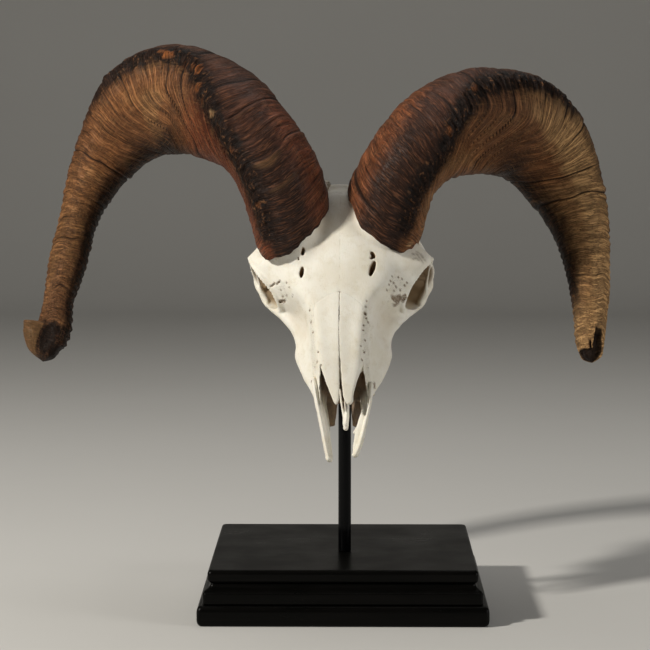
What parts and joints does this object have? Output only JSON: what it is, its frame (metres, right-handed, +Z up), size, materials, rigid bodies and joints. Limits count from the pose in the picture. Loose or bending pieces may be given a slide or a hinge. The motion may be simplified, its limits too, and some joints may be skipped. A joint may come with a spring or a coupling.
{
  "type": "ram skull with horns on a display stand",
  "caption": "Bleached ram skull with brown ridged horns, held face forwards on a black post over a moulded black plinth.",
  "frame": {"origin": "centre of the plinth's underside, on the surface that the stand rests on", "axes": "+Z up along the post, +X across the two horns towards the viewer's right, +Y from the face towards the back of the skull"},
  "size_m": [0.4678, 0.2244, 0.4362],
  "materials": {
    "bone": null,
    "horn_sheath": null,
    "plinth_wood": "black satin lacquer",
    "post_metal": "black semi-gloss"
  },
  "bodies": {
    "root": {"stand_base_board": "plinth_wood", "stand_middle_step": "plinth_wood", "stand_top_board": "plinth_wood", "stand_post": "post_metal", "cranium": "bone", "nasal_left": "bone", "nasal_right": "bone", "premaxilla_left": "bone", "premaxilla_right": "bone", "horn_left": "horn_sheath", "horn_right": "horn_sheath"}
  },
  "joints": []
}
